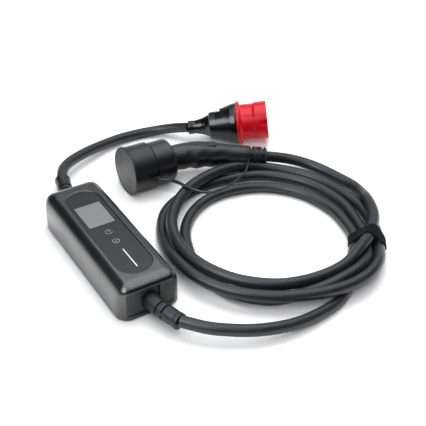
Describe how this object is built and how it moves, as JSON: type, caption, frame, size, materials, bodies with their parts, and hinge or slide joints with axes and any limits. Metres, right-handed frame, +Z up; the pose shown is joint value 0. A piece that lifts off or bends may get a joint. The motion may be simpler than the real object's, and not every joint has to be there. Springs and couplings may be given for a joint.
{
  "type": "portable electric vehicle charging set",
  "caption": "Control box with display panel, supply cord with red round industrial plug, and coiled, strapped charging lead with a capped round vehicle connector.",
  "frame": {"origin": "centre of the control box's base, on the surface that it lies on", "axes": "+Z up, +Y along the control box towards its supply end, +X across it towards the coil"},
  "size_m": [0.463, 0.5515, 0.077],
  "materials": {
    "shell": "semi-gloss black",
    "seal": "grey foam seal",
    "steel": "zinc-plated",
    "plate": "matte dark grey, finely textured",
    "overlay": "satin dark grey",
    "screen": "satin mid grey, unlit",
    "light": "white light guide",
    "rubber": "satin dark grey",
    "board": "green laminate",
    "component": "moulded housing",
    "transformer": "laminated core",
    "terminal": "moulded block",
    "core": "insulated core",
    "plug_black": "gloss black",
    "latch": "grey",
    "plug_red": "signal red, satin gloss",
    "contact": "nickel-plated brass",
    "cap_rubber": "matte black",
    "grip": "matte black, finely textured",
    "cable": "satin dark grey",
    "strap": "black hook-and-loop"
  },
  "bodies": {
    "root": {"housing_cover": "shell", "base_cover": "shell", "case_seal": "seal", "case_screws": "steel", "front_plate_upper": "plate", "front_plate_lower": "plate", "rear_plate_upper": "plate", "rear_plate_lower": "plate", "control_panel": "overlay", "display": "screen", "light_bar": "light", "front_boot": "rubber", "rear_boot": "rubber", "main_board": "board", "relays": "component", "power_supply": "transformer", "current_sensor": "component", "terminal_block_supply": "terminal", "terminal_block_vehicle": "terminal", "cores_supply": "core", "cores_vehicle": "core", "plug_body": "plug_black", "plug_gland": "rubber", "plug_latch": "latch", "plug_flange_ring": "plug_red", "plug_sleeve": "plug_red", "plug_insert": "plug_black", "plug_phase_pins": "contact", "plug_earth_pin": "contact", "connector_cap": "cap_rubber", "connector_shell": "grip", "connector_nose": "plug_black", "connector_contacts": "contact", "connector_signal_contacts": "contact", "connector_inlay": "overlay", "connector_strain_relief": "rubber", "tether_ring": "cap_rubber", "cap_tether": "cap_rubber", "supply_cord": "cable", "charging_lead_box": "cable", "charging_coil": "cable", "charging_lead_handle": "cable", "coil_strap": "strap"}
  },
  "joints": []
}
